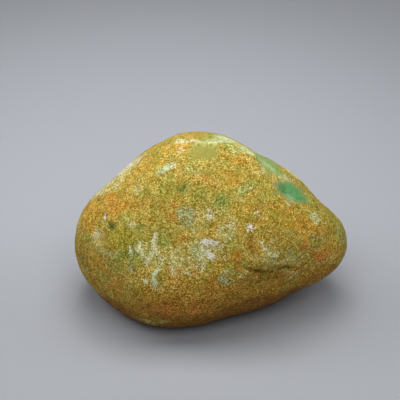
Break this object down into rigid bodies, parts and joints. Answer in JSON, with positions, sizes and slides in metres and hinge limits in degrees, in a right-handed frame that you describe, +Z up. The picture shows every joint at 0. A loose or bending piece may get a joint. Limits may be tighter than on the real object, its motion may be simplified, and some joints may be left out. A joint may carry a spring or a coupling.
{
  "type": "raw jadeite boulder",
  "caption": "Hand-sized river-worn boulder of rough jadeite: sandy ochre rind with pale and rust patches, small smooth green windows, and a flat underside to rest on.",
  "frame": {"origin": "middle of the stone's bounding box in X and Y, at the height of the flat underside", "axes": "+X along the longest extent, towards the pointed end; +Y away from the broad front; +Z up"},
  "size_m": [0.1006, 0.0768, 0.0685],
  "materials": {
    "rind": "sandy weathered rind, ochre and olive with rust, cream and grey-green patches, and small smooth green windows"
  },
  "bodies": {
    "root": {"jadeite_stone": "rind"}
  },
  "joints": []
}
